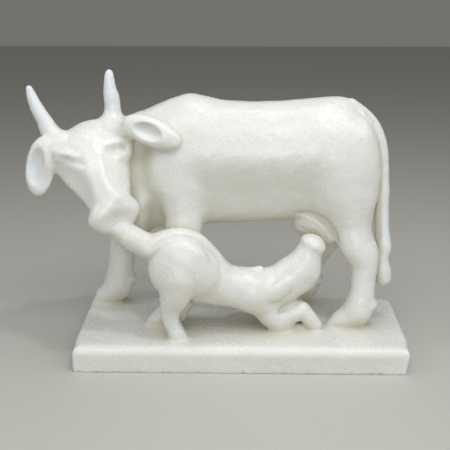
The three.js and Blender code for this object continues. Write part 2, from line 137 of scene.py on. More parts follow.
class Link:
    """One straight stretch of a limb, between two beads."""

    def __init__(self, start, end, broad, back, place):
        self.start, self.end, self.broad, self.back = start, end, broad, back
        reach = [[value + side * bead[3] * wide for value, wide in zip(bead[:3], (1, broad, 1))]
                 for bead in (start, end) for side in (-1, 1)]
        self.box = box_of(corners(np.min(reach, 0), np.max(reach, 0)), place)

    def distance(self, x, y, z):
        if self.back is not None:
            x, y, z = moved(self.back, x, y, z)
        stretch = (1, self.broad, 1)
        run = [(e - s) / w for s, e, w in zip(self.start, self.end, stretch)]
        square = max(sum(v * v for v in run), 1e-9)
        gaps = [(v - s) / w for v, s, w in zip((x, y, z), self.start, stretch)]
        t = np.clip((gaps[0] * run[0] + gaps[1] * run[1] + gaps[2] * run[2]) / square, 0, 1)
        gap = np.sqrt(sum((g - t * r) ** 2 for g, r in zip(gaps, run)))
        return (gap - self.start[3] - t * (self.end[3] - self.start[3])) * min(1, self.broad)


class Limb:
    """A round limb through stations of (x, y, z, radius), in the given number of steps from each to
    the next. Where broad isn't 1, it is that much wider along Y than its radius."""

    def __init__(self, stations, broad=1.0, within=None, steps=4):
        columns = list(zip(*stations))
        count = (len(stations) - 1) * steps
        places = [i / count * (len(stations) - 1) for i in range(count + 1)]
        beads = [[along(column, place) for column in columns] for place in places]
        back = within.inverted() if within else None
        self.parts = [Link(a, b, broad, back, within) for a, b in zip(beads, beads[1:])]
        self.box = (np.min([part.box[0] for part in self.parts], 0),
                    np.max([part.box[1] for part in self.parts], 0))


class Trunk:
    """A trunk along X through stations of (x, middle y, top, bottom, half width)."""

    def __init__(self, stations):
        self.xs, self.ys, self.tops, self.bottoms, self.halves = map(list, zip(*stations))
        widest = max(self.halves)
        self.box = (np.array([self.xs[0], min(self.ys) - widest, min(self.bottoms) - SWELL]),
                    np.array([self.xs[-1], max(self.ys) + widest, max(self.tops) + SWELL]))
        self.parts = [self]

    def distance(self, x, y, z):
        held = np.clip(x, self.xs[0], self.xs[-1])
        places = np.interp(held.ravel(), self.xs, range(len(self.xs)))

        def at(values):
            return np.array([along(values, place) for place in places]).reshape(held.shape)

        top, bottom = at(self.tops), at(self.bottoms)
        side = to_ellipsoid(0, y - at(self.ys), z - (top + bottom) / 2,
                            1, at(self.halves), (top - bottom) / 2)
        return np.hypot(np.maximum(side, 0), x - held) + np.minimum(side, 0)


class Slab:
    """The plinth: a slab with rounded corners and a rounded upper edge, rounder along the front, and
    running on below z = 0."""

    def __init__(self, length, depth, height, top_round, front_round, corner_round):
        self.size = (length, depth, height, top_round, front_round, corner_round)
        self.box = (np.array([-length / 2, -depth / 2, -SPARE]),
                    np.array([length / 2, depth / 2, height]))
        self.parts = [self]

    def distance(self, x, y, z):
        length, depth, height, top_round, front_round, corner_round = self.size
        # The edge turns rounder from 0.3 to 0.42 of the depth in front of the middle.
        frontness = np.clip((-y - 0.3 * depth) / (0.12 * depth), 0, 1)
        top_round = top_round + (front_round - top_round) * frontness
        # The end under the rump leans inward to the bottom, and its rear corner is worn round.
        lean = END_LEAN * (height - z) / height - END_OVERHANG
        corner_round = np.where((x > 0) & (y > 0), REAR_CORNER_ROUND, corner_round)
        qx = np.abs(x) + np.where(x > 0, lean, 0) - length / 2 + corner_round
        qy = np.abs(y) - depth / 2 + corner_round
        corner = np.hypot(np.maximum(qx, 0), np.maximum(qy, 0)) + np.minimum(np.maximum(qx, qy), 0)
        side = corner - corner_round + top_round
        lid = z - height + top_round
        edge = np.hypot(np.maximum(side, 0), np.maximum(lid, 0)) - top_round
        return np.maximum(edge + np.minimum(np.maximum(side, lid), 0), -SPARE - z)


def meet(a, b, k):
    """Blends two distances where they come within k of each other."""
    h = np.maximum(k - np.abs(a - b), 0) / k
    return np.minimum(a, b) - h * h * k / 4


# Distance to a form in the corners of its box that none of its parts reaches
FAR = 1000


class Block:
    """The marble block: forms are added and carved away in order, each only near its own box. The
    field holds the distance to the stone at each step of the grid, negative inside."""

    def __init__(self, low, high, step):
        self.step = step
        self.low = np.floor(np.array(low) / step).astype(int)
        self.size = np.ceil(np.array(high) / step).astype(int) - self.low + 1
        self.field = np.full(self.size, UNTOUCHED, np.float32)

    def room(self, box, margin):
        """The first and last step of the grid that a box and the margin around it take up."""
        start = np.clip(np.floor((box[0] - margin) / self.step).astype(int) - self.low, 0, self.size)
        stop = np.clip(np.ceil((box[1] + margin) / self.step).astype(int) - self.low + 1, 0, self.size)
        return start, stop

    def axes(self, start, stop):
        """The grid's x, y and z from start to stop, in millimetres."""
        return [((np.arange(a, b) + low) * self.step).reshape([-1 if k == n else 1 for n in range(3)])
                for k, (a, b, low) in enumerate(zip(start, stop, self.low))]

    def near(self, form, blend):
        """The grid around a form, as far as it blends, and the distances to the form there."""
        margin = blend + 2 * self.step
        start, stop = self.room(form.box, margin)
        distance = np.full(stop - start, FAR, np.float32)
        for part in form.parts:
            first, last = self.room(part.box, margin)
            spot = tuple(slice(a - s, b - s) for a, b, s in zip(first, last, start))
            distance[spot] = np.minimum(distance[spot], part.distance(*self.axes(first, last)))
        return tuple(slice(a, b) for a, b in zip(start, stop)), distance

    def add(self, form, blend):
        spot, distance = self.near(form, blend)
        self.field[spot] = meet(self.field[spot], distance, blend)

    def carve(self, form, blend):
        spot, distance = self.near(form, blend)
        self.field[spot] = -meet(-self.field[spot], distance, blend)


# The cow

def cow_leg(block, stations, y, toe):
    """One leg from body to fetlock, its dewclaws, and a hoof that runs out low to -X."""
    block.add(Limb(stations), 10)
    ankle_x, _, ankle_z, ankle_r = stations[-1]
    block.add(Limb([
        (ankle_x - 1, y, ankle_z - 8, ankle_r - 1.5),
        ((ankle_x + toe) / 2, y, GROUND + 7, ankle_r - 4),
        (toe + 6, y, GROUND + 1.5, 5.5),
    ]), 6)
    block.add(Ball((ankle_x + ankle_r - 2, y, ankle_z + 2), (5, 9, 5)), 4)


def cow_body(block):
    block.add(Trunk([
        (-92, COW_Y, 213, 117, 25),
        (-74, COW_Y, 225, 112, 32),
        (-60, COW_Y, 233, 113, 35),
        (-47, COW_Y, 237.3, 115, 36.5),
        (-34, COW_Y, 235.5, 116, 37.5),
        (-20, COW_Y, 232, 117, 38),
        (5, COW_Y, 230.5, 118.5, 39),
        (38, COW_Y, 231, 121, 39),
        (70, COW_Y, 234, 124, 38),
        (92, COW_Y, 234.5, 128, 33),
        (108, COW_Y, 226, 134, 24),
    ]), 6)
    for side in (-1, 1):
        # The flank draws in towards the belly.
        y = COW_Y + side * 106
        block.carve(Limb([(-40, y, 128, 80), (66, y, 130, 79)], steps=1), 14)
        block.add(Ball((-64, COW_Y + side * 16, 168), (27, 20, 44)), 12)
        block.add(Ball((93, COW_Y + side * 16, 168), (33, 22, 50)), 8)
        block.add(Ball((99, COW_Y + side * 9, 197), (20, 14, 22)), 12)
    block.add(Ball((-98, COW_Y - 4, 148), (24, 23, 46)), 10)
    # The dewlap's fold beside the jaw
    block.add(Limb([(-94, 4, 176, 6), (-92, 0, 158, 7.5), (-91, -2, 140, 8), (-91, 1, 120, 7)]), 10)


def cow_legs(block):
    cow_leg(block, [
        (-54.5, 4, 152, 20), (-53.5, -1, 128, 18), (-55, NEAR_LEG_Y, 106, 17.3),
        (-57, NEAR_LEG_Y, 88, 15.2), (-59, NEAR_LEG_Y, 72, 13), (-60, NEAR_LEG_Y, 56, 12),
        (-60, NEAR_LEG_Y, 45, 13),
    ], NEAR_LEG_Y, -89)
    cow_leg(block, [
        (-100, 34, 140, 24), (-110, 41, 112, 17), (-116, FAR_LEG_Y, 90, 13),
        (-117.5, FAR_LEG_Y, 72, 12.5), (-119.5, FAR_LEG_Y, 58, 13), (-121, FAR_LEG_Y, 47, 14),
    ], FAR_LEG_Y, -148)
    cow_leg(block, [
        (100, 8, 144, 22), (102.5, 2, 120, 17), (105.8, -2, 104, 16.4), (111, -4, 95, 15.4),
        (113.4, -6.5, 85, 12.4), (113, NEAR_LEG_Y, 70, 11.2), (112.5, NEAR_LEG_Y, 56, 12),
        (110.5, NEAR_LEG_Y, 45, 13.5),
    ], NEAR_LEG_Y, 80)
    cow_leg(block, [
        (102, 36, 140, 25), (96, 41, 112, 17), (84, 45, 92, 13.5), (74.5, FAR_LEG_Y, 74, 11.5),
        (69, FAR_LEG_Y, 58, 11), (67, FAR_LEG_Y, 48, 12),
    ], FAR_LEG_Y, 36)
    # The groove between brisket and foreleg deepens downward.
    block.carve(Limb([
        (-80, -22, 156, 3.5), (-78.5, -14, 140, 5.5), (-77.5, -7, 124, 6.5), (-78, -2, 110, 7),
    ]), 9)


def cow_udder(block):
    """The udder lies in a hollow under the arch of the thigh, with the far thigh's fold behind it."""
    block.carve(Ball((63, -14, 108), (25, 18, 29)), 2)
    block.add(Ball((74, 13, 124), (27, 13, 24)), 4)
    block.add(Limb([(62, 9, 132, 5), (72, 8, 123, 6.5), (81, 7, 108, 7)]), 7)


# The head's frame: X runs down the nose from the poll to the muzzle, Y to the side of the ear that
# stands out over the calf, and Z out of the forehead. The other ear hangs down.
POLL = Vector((-139, -12, 218.5))
MUZZLE = Vector((-104, -54, 155.5))
HEAD_SIDE = Vector((51, 21, 5))
HEAD_LENGTH = (MUZZLE - POLL).length


def basis(x, y, z, origin):
    return Matrix([(x[k], y[k], z[k], origin[k]) for k in range(3)] + [(0, 0, 0, 1)])


def head_frame():
    nose = (MUZZLE - POLL).normalized()
    brow = nose.cross(HEAD_SIDE).normalized()
    return basis(nose, brow.cross(nose), brow, POLL)


def leaf_frame(middle, to_tip, facing):
    """The frame of a leaf of stone, such as an ear: X runs from root to tip, Z across, and Y away
    from the side that it faces."""
    x = Vector(to_tip).normalized()
    z = x.cross(-Vector(facing)).normalized()
    return basis(x, z.cross(x), z, middle)


def cow_head(block):
    head = head_frame()
    block.add(Limb([
        (-66, COW_Y, 186, 40), (-84, 19, 186, 35), (-100, 16, 187, 30.5), (-116, 11, 188, 28),
        (-130, 3, 191, 25),
    ], broad=0.7), 12)
    # The neck draws back behind the cheek and under the ear.
    block.carve(Limb([
        (-90, -9, 202, 10), (-94, -10, 189, 11), (-95, -16, 172, 9), (-94, -23, 155, 7),
    ]), 14)
    block.add(Ball((20, 1, -24), (25, 35.5, 21), head), 5)
    block.add(Limb([
        (22, 1.5, -26, 26), (34, 1.5, -24.5, 24), (48, 1, -22, 20), (60, 0, -19.5, 17),
        (HEAD_LENGTH - 10, -1, -18, 14),
    ], broad=1.32, within=head), 4)
    block.add(Ball((42, 1, -38), (28, 19, 17), head), 6)
    # The bridge of the nose stands between two slanting sides.
    block.add(Limb([(24, -1, -8, 6.5), (44, -2, -7.5, 6), (60, -1, -7.5, 5.5), (76, 2, -8.5, 6)],
                   broad=1.8, within=head), 4)
    for side in (-1, 1):
        block.carve(Ball((58, side * 29, 6), (21, 16.5, 15), head), 3.5)
        block.add(Ball((25, side * 21, -11.5), (5, 12, 6), head), 5)
        block.carve(Ball((34, side * 24, -2.5), (4.5, 8.5, 4.5), head), 4)
    # The muzzle ends in a flat oval that looks forward and down the nose.
    muzzle = head @ Matrix.Translation((HEAD_LENGTH + 1, -1.5, -20.5)) @ Matrix.Rotation(-0.67, 4, "Y")
    block.add(Ball((0, 0, 0), (12, 23.5, 17), muzzle), 3)
    block.carve(Ball((28.2, 0, 1), (20, 42, 24), muzzle), 3)


def cow_horns(block):
    block.add(Limb([
        (-162, -9, 198, 11), (-169, -8, 209, 8.2), (-172.5, -8, 217, 6.9), (-176.6, -8, 224.5, 6.1),
        (-180.6, -8, 233.7, 5.2), (-182.6, -8, 240, 4.2), (-184.2, -8, 245.4, 2.8),
    ]), 5)
    block.add(Limb([
        (-115, 4, 207, 11), (-114.9, 7, 218.5, 7.8), (-114.8, 8, 227, 7), (-115.3, 8, 236, 6.9),
        (-116.4, 8, 242.5, 5.9), (-116.8, 8, 251.5, 4.6), (-116.6, 8, 256.8, 3.3),
    ]), 7)


def cupped_ear(block, middle, to_tip, facing, radii, shift, hollow):
    """A leaf with a hollow in it. Shift and hollow are the hollow's middle and half size, as shares
    of the leaf's own."""
    leaf = leaf_frame(middle, to_tip, facing)
    block.add(Ball((0, 0, 0), radii, leaf), 3)
    place = [share * radius for share, radius in zip(shift, radii)]
    size = [share * radius for share, radius in zip(hollow, radii)]
    block.carve(Ball(place, size, leaf), 1.5)


def cow_ears(block):
    # The ear over the calf grows out of the temple.
    block.add(Limb([(-111, -1, 208, 8.5), (-96, -9.5, 211.5, 9.8)]), 7)
    cupped_ear(block, (-77.5, -17, 209.5), (38, -4, -15), (-0.1, -1, 0.2), (27, 7.5, 12.5),
               (-0.12, -1.1, -0.04), (0.5, 1.05, 0.58))
    # Its lower edge runs straight to a blunt tip.
    block.add(Limb([(-86, -16, 205, 3.5), (-71, -18, 201.5, 3.5), (-59, -20, 200, 2.8)]), 3)
    # The hanging ear
    block.add(Limb([(-158, -12, 198, 11), (-169, -17, 195, 8)]), 4)
    cupped_ear(block, (-176, -20, 179), (-10, -3, -51), (-0.25, -1, 0.1), (27, 7.5, 13.5),
               (-0.02, -1.1, -0.12), (0.68, 0.95, 0.6))


def cow_tail(block):
    block.add(Limb([
        (98, COW_Y, 226, 7.5), (112, COW_Y, 216, 7), (122.5, COW_Y, 202, 6.7), (127.5, 19, 185, 6.4),
        (129.8, 17, 160, 6.2), (131, 14, 130, 6), (132, 11, 108, 6),
    ], broad=1.1), 1.6)
    block.add(Limb([
        (132, 11, 108, 6), (133.5, 9, 98, 7), (132, 8, 86, 6.5), (133, 7, 74, 8), (134, 7, 67, 8),
    ]), 2)


# The calf

def calf_body(block):
    block.add(Trunk([
        (-68, -36, 117, 84, 15),
        (-48, -31, 121, 62, 18),
        (-32, -27, 112, 55, 18.5),
        (-12, -22, 91, 49.5, 17.5),
        (6, -18, 85, 45.5, 17),
        (26, -13, 82, 46, 15),
    ]), 5)
    block.add(Ball((-58, -36, 96), (24, 17, 24)), 8)
    # The spine stands proud of the haunch as a rounded band.
    block.add(Limb([
        (-80, -39, 111.5, 9), (-67, -38, 118.5, 8), (-53, -36, 120.5, 7.5), (-39, -32, 114.5, 7.5),
        (-27, -28, 102, 7), (-15, -24, 86.5, 6),
    ], broad=1.4), 3)
    block.add(Ball((-54, -43, 93.5), (27.5, 13.5, 28)), 1.5)
    block.add(Ball((-36, -40, 84), (16, 11.5, 18)), 5)
    # The tail is raised to the cow's muzzle.
    block.add(Limb([
        (-68, -37, 106, 11), (-84, -37, 113, 11), (-96, -38, 120, 11), (-105, -39, 128, 10),
    ]), 3)


def calf_legs(block):
    for y, slim in ((-39, 0), (-26, 2)):
        block.add(Limb([
            (-54 - slim, y - 2, 84, 17 - slim), (-58 - slim, y - 1, 68, 14.5 - slim),
            (-61.5, y, 57, 10.5 - slim), (-63, y, 47, 8 - slim / 2), (-61.5, y, 38, 7 - slim / 2),
            (-58 - slim, y, 30, 6.8 - slim / 2),
        ]), 4)
        block.add(Limb([(-58 - slim, y, 29, 7 - slim / 2), (-55 - slim, y, 26, 6.5 - slim / 2)]), 3)
    block.add(Ball((12, -24, 62), (14, 12, 18)), 8)
    for y, shift in ((-17.5, 0), (-5, -5)):
        block.add(Limb([
            (14 + shift, y - 2, 62, 16), (21 + shift, y, 50, 13.5), (28 + shift, y, 39, 11.5),
            (35 + shift, y, 34, 10.5),
        ]), 5)
        block.add(Ball((42 + shift, y, 29), (8, 8, 8)), 3)
        block.add(Limb([
            (35 + shift, y, 31, 10), (45 + shift, y, 38.5, 9.5), (55 + shift, y, 43, 8.5),
        ]), 3)
        block.add(Limb([
            (56.5 + shift, y, 43.5, 8), (62 + shift, y, 37, 7), (66 + shift, y, 31, 6),
            (69 + shift, y, 27.5, 5),
        ]), 2)
    # The chest stands over the foreleg.
    block.carve(Limb([(36, -24, 46.5, 3), (43, -24.5, 49.5, 3.8), (51, -22.5, 53, 3.2)]), 1.5)
    # The shank runs down straight, over a small opening.
    block.add(Limb([(57, -17.5, 46.5, 5.5), (66, -17.5, 36.5, 4.6), (71, -17.5, 29, 4.5)]), 1.5)
    block.add(Limb([(46, -15, 25.5, 3.8), (60, -15, 25.5, 3.8)], steps=1), 3)


def calf_head(block):
    block.add(Limb([
        (20, -14, 60, 18), (34, -13, 65, 19), (47, -12, 75, 18.5), (57, -11, 85, 15),
    ], broad=0.85), 6)
    block.add(Limb([
        (57, -11, 84, 15), (60.5, -10, 93, 13.2), (62.8, -10, 99, 11.8), (65, -10, 103, 11.3),
    ]), 4)
    block.add(Ball((56, -12, 78), (15.5, 12, 17)), 6)
    muzzle = Matrix.Translation((65.8, -10, 106)) @ Matrix.Rotation(0.49, 4, "Y")
    block.add(Ball((0, 0, 0), (12.3, 12.3, 7.2), muzzle), 2)
    block.add(Limb([(7, -17, 79, 5.5), (17.5, -17, 83.2, 3.4)], steps=1), 2)
    ear = leaf_frame((35.5, -30, 68.5), (-17, -2, -16), (0.3, -1, -0.1))
    block.add(Ball((0, 0, 0), (14, 4.5, 8), ear), 3)


# The fine carving

def calf_relief(block):
    # A groove around the haunch sets off the band of the spine.
    block.carve(Limb([
        (-76.4, -52.7, 114.4, 1.8), (-69.6, -51.1, 119.7, 3.1), (-61, -48.9, 123.8, 3.2),
        (-51.4, -47.1, 124.1, 3.2), (-44.3, -44.9, 122.8, 3.2), (-36.2, -43, 118, 3.2),
        (-28.5, -40.3, 110.6, 3.2), (-23.4, -37.9, 105.2, 3.1), (-19, -36.5, 98.1, 3),
        (-16.3, -36.5, 91.8, 2.8), (-14.7, -38.9, 85.2, 1.8),
    ]), 2)


def udder_relief(block):
    # A dark fold under the arch of the thigh, and two strokes along the udder
    block.carve(Limb([
        (52, 0, 131, 2.2), (63, -1, 131, 3.4), (74, -2.5, 126, 3.6), (84, -3, 116, 3.6),
        (91, -3, 104, 2.6),
    ]), 1.5)
    block.carve(Limb([
        (57.8, 1, 123.5, 1.1), (66.9, -1.2, 120.5, 1.4), (75.3, -1.8, 113, 1.4),
        (80.6, 1, 102.4, 1.1),
    ]), 0.8)
    block.carve(Limb([(54.6, 4, 115.9, 1.1), (62.7, 1.4, 113.9, 1.4), (69, 0.5, 108, 1.2)]), 0.8)


def tail_relief(block):
    # Lower down the tail is a broader band, and the thigh behind it draws in.
    block.add(Limb([
        (131.2, 15, 150, 5), (130, 13.5, 135, 5), (129.2, 12, 122, 5), (130.4, 11, 106, 5),
    ]), 2)
    block.carve(Limb([
        (127.5, 4, 164, 1), (126, 4, 150, 3), (124.5, 4, 135, 4.4), (123.8, 4, 120, 4.2),
        (125, 4, 108, 3.4),
    ]), 3.5)
    # A crisp line between rump and tail
    block.carve(Limb([
        (101, 7.5, 226.8, 1), (109, 5.5, 220, 1.8), (116.8, 5.4, 212.5, 2.2), (121, 5.5, 202, 2.2),
        (123, 6, 188, 1.8), (125, 6.5, 174, 1.2), (127.5, 7, 160, 0.6),
    ]), 2.6)


def face_relief(block):
    head = head_frame()
    # The temple is full and flat from the horn down to the ear's root.
    block.add(Ball((20, 22, -11), (18, 12, 9.5), head), 3)
    block.add(Ball((21, 28, -12), (21, 10.5, 11), head), 5)
    # On the side of the ear over the calf: brow, lid and the shallow between them
    block.add(Limb([(26, 11, -4.4, 3), (27, 19, -4.6, 3.6), (28, 26, -5.6, 3)], within=head), 4)
    block.carve(Limb([(34, 12, -0.6, 2.6), (35, 18, -1.6, 3.4), (35, 25, -3.6, 2.8)], within=head), 4)
    block.add(Ball((41, 17, -7.2), (3, 5, 3.2), head), 3)
    # On the side of the hanging ear: a heavy lid, and the shallow under it
    block.add(Limb([
        (16, -29, -12.8, 3.4), (22.3, -24.5, -8.2, 4), (28.6, -18.5, -7, 3),
    ], within=head), 4)
    block.carve(Limb([(27, -31, -6.4, 3), (32, -23, -4.9, 3.8), (38, -16, -1.8, 2.6)], within=head), 4)
    # The cheek under it is cut flat, and falls away steeply beside the bridge of the nose.
    steep = Vector((0.1, -0.95, 0.3))
    block.carve(Ball(Vector((54, -15, -8)) + 50 * steep, (50, 50, 50), head), 3)
    # A narrow ridge runs down the nose to the muzzle.
    block.add(Limb([
        (38, 1, -4, 3.2), (48.8, -0.4, -4.6, 4), (59, -1.8, -5, 4.4), (70, -0.6, -5.6, 4.4),
        (75, 2.5, -6, 3.8),
    ], within=head), 4)


def hand_marks(block):
    """The hand-worked surface rolls by a fraction of a millimetre."""
    x, y, z = (axis.astype(np.float32) for axis in block.axes((0, 0, 0), block.size))
    broad = np.sin(x / 5.6 + 1.6 * np.sin(z / 8.1)) * np.sin(z / 4.9 + 1.4 * np.sin(y / 6.7 + x / 11))
    small = np.sin(x / 1.9 + np.sin(y / 2.7)) * np.sin(z / 1.7 + np.sin(x / 3.1))
    broad_height, small_height = 0.2, 0.05
    block.field += broad_height * broad + small_height * small


def carved_block(step):
    """The whole block with every form on it, on a grid of the given step in millimetres."""
    block = Block((-200, -68, -8), (160, 70, 268), step)
    for carve_part in (
        cow_body, cow_legs, cow_udder, cow_head, cow_horns, cow_ears, cow_tail,
        calf_body, calf_legs, calf_head,
        calf_relief, udder_relief, tail_relief, face_relief,
    ):
        carve_part(block)
    block.add(Slab(**PLINTH), 5)
    hand_marks(block)
    return block


def crowding(block, places, normals, reach):
    """The share of stone in a cube that stands in front of each place, along its normal. Reach is
    half the cube's side."""
    share = (block.field < 0).astype(np.float32)
    width = round(reach / block.step)
    for axis in range(3):
        sides = [(width + 1, width) if k == axis else (0, 0) for k in range(3)]
        sums = np.moveaxis(np.cumsum(np.pad(share, sides), axis), axis, 0)
        share = np.moveaxis(sums[2 * width + 1:] - sums[:-2 * width - 1], 0, axis) / (2 * width + 1)
    ahead = (places + normals * reach) / block.step - block.low
    # Held just short of the grid's last step, so that each place lies between two steps
    ahead = np.clip(ahead, 0, np.array(block.size) - 1.001)
    base = ahead.astype(int)
    part = ahead - base
    total = np.zeros(len(places))
    for corner in np.ndindex(2, 2, 2):
        weight = np.prod(np.where(corner, part, 1 - part), axis=1)
        total += weight * share[tuple((base + corner).T)]
    return total


def mark_stone(block, mesh):
    """Stores at each vertex its painted shade, from how deep in a hollow it lies and how far it faces
    down, and how thin the stone behind it is, for painted cool light. The shade also dulls the polish."""
    # Half sizes of the cubes that look for a hollow to paint shade in, in millimetres, and the weight
    # of each
    shade_cubes = ((4.5, 2.8), (13, 1.2), (26, 1.5))
    # Open surfaces have up to this share of stone before them, and thick stone this share behind.
    open_share = 0.1
    thick_share = 0.85
    thin_cube = 9
    count = len(mesh.vertices)
    places = np.empty(3 * count, np.float32)
    mesh.vertices.foreach_get("co", places)
    normals = np.empty(3 * count, np.float32)
    mesh.vertices.foreach_get("normal", normals)
    places = places.reshape(-1, 3) / MM
    normals = normals.reshape(-1, 3)
    depth = np.zeros(count)
    for reach, weight in shade_cubes:
        depth += np.clip(weight * (crowding(block, places, normals, reach) - open_share), 0, 1)
    # Surfaces facing down get painted shade and a duller polish, 20 mm and more above the plinth.
    facing_down = np.clip(-1.4 * normals[:, 2] - 0.02, 0, 1)
    over_plinth = np.clip((places[:, 2] - GROUND) / 20, 0, 1)
    depth += facing_down * over_plinth
    # Thin stone gets painted cool light, as if light came through it; hollows are kept out of it.
    lack = 2 * (thick_share - crowding(block, places, -normals, thin_cube))
    for name, values in (("hollow", depth), ("thinness", lack - 1.5 * depth)):
        layer = mesh.attributes.new(name, "FLOAT", "POINT")
        layer.data.foreach_set("value", np.clip(values, 0, 1).astype(np.float32))


def mesh_of(block, name):
    """The surface of the block's grid as a mesh, in metres."""
    grid = openvdb.FloatGrid(UNTOUCHED)
    grid.copyFromArray(block.field)
    points, triangles, quads = grid.convertToPolygons(0.0, 0.0)
    places = (points + block.low) * (block.step * MM)
    mesh = bpy.data.meshes.new(name)
    mesh.from_pydata(places.tolist(), [], triangles.tolist() + quads.tolist())
    mesh.validate()
    return mesh


def thin(statue, wanted):
    """Thins the surface where it is flat until the wanted number of triangles carries it."""
    mesh = statue.data
    count = sum(len(face.vertices) - 2 for face in mesh.polygons)
    if count <= wanted:
        return
    modifier = statue.modifiers.new("thin", "DECIMATE")
    modifier.ratio = wanted / count
    thinned = statue.evaluated_get(bpy.context.evaluated_depsgraph_get())
    shape = bpy.data.meshes.new_from_object(thinned)
    statue.modifiers.clear()
    mesh.clear_geometry()
    work = bmesh.new()
    work.from_mesh(shape)
    work.to_mesh(mesh)
    work.free()
    bpy.data.meshes.remove(shape)


def sawn_flat(mesh):
    """Cuts the stone at z = 0 and closes the cut, so that the plinth rests flat."""
    work = bmesh.new()
    work.from_mesh(mesh)
    everything = work.verts[:] + work.edges[:] + work.faces[:]
    cut = bmesh.ops.bisect_plane(work, geom=everything, plane_co=(0, 0, 0), plane_no=(0, 0, 1),
                                 clear_inner=True)
    rim = [edge for edge in cut["geom_cut"] if isinstance(edge, bmesh.types.BMEdge)]
    bmesh.ops.contextual_create(work, geom=rim)
    bmesh.ops.recalc_face_normals(work, faces=work.faces[:])
    work.to_mesh(mesh)
    work.free()


# The material

# Scales of the noises, in features per metre
GRAIN_SCALE = 520
CLOUD_SCALE = 22
ROLL_SCALE = 200
PATCH_SCALE = 30
# Length of the file's strokes, in metres
STROKE_LENGTH = 0.012
# How much rougher the least polished places are than the best
POLISH_SPREAD = 0.27


def node(tree, kind, place, **settings):
    made = tree.nodes.new(kind)
    made.location = place
    for key, value in settings.items():
        setattr(made, key, value)
    return made


def noise(tree, place, coordinates, scale, detail):
    """A soft noise over the given coordinates."""
    made = node(tree, "ShaderNodeTexNoise", place)
    made.inputs["Scale"].default_value = scale
    made.inputs["Detail"].default_value = detail
    tree.links.new(coordinates, made.inputs["Vector"])
    return made.outputs["Fac"]


def spread(tree, place, value, source, target):
    """Maps a value from one range to another, and holds it there."""
    made = node(tree, "ShaderNodeMapRange", place)
    for name, number in zip(("From Min", "From Max", "To Min", "To Max"), (*source, *target)):
        made.inputs[name].default_value = number
    tree.links.new(value, made.inputs["Value"])
    return made.outputs["Result"]


def maths(tree, place, operation, a, b):
    made = node(tree, "ShaderNodeMath", place, operation=operation)
    for socket, value in zip(made.inputs, (a, b)):
        if isinstance(value, (int, float)):
            socket.default_value = value
        else:
            tree.links.new(value, socket)
    return made.outputs["Value"]


def tinted(tree, place, share, under, over, kind="MIX"):
    """Lays one colour over another by a share."""
    made = node(tree, "ShaderNodeMix", place, data_type="RGBA", blend_type=kind)
    for name, value in (("Factor_Float", share), ("A_Color", under), ("B_Color", over)):
        socket = next(entry for entry in made.inputs if entry.identifier == name)
        if isinstance(value, (int, float)):
            socket.default_value = value
        elif isinstance(value, bpy.types.NodeSocket):
            tree.links.new(value, socket)
        else:
            socket.default_value = (*value, 1)
    return next(entry for entry in made.outputs if entry.identifier == "Result_Color")


def file_marks(tree, place, coordinates, turn, width):
    """Thin strokes of the file, left here and there: noise drawn out along two of its axes. Turn is
    in radians and width in metres."""
    x, y = place
    turned = node(tree, "ShaderNodeMapping", (x, y), vector_type="TEXTURE")
    turned.inputs["Rotation"].default_value = (0.3, turn, 0)
    turned.inputs["Scale"].default_value = (STROKE_LENGTH, STROKE_LENGTH, width)
    tree.links.new(coordinates, turned.inputs["Vector"])
    drawn_out = noise(tree, (x + 200, y), turned.outputs["Vector"], 1, 0)
    strokes = spread(tree, (x + 400, y), drawn_out, (0.6, 0.72), (0, 1))
    patches = noise(tree, (x + 200, y - 180), coordinates, PATCH_SCALE, 1)
    where = spread(tree, (x + 400, y - 180), patches, (0.48, 0.62), (0, 1))
    return maths(tree, (x + 600, y), "MULTIPLY", strokes, where)


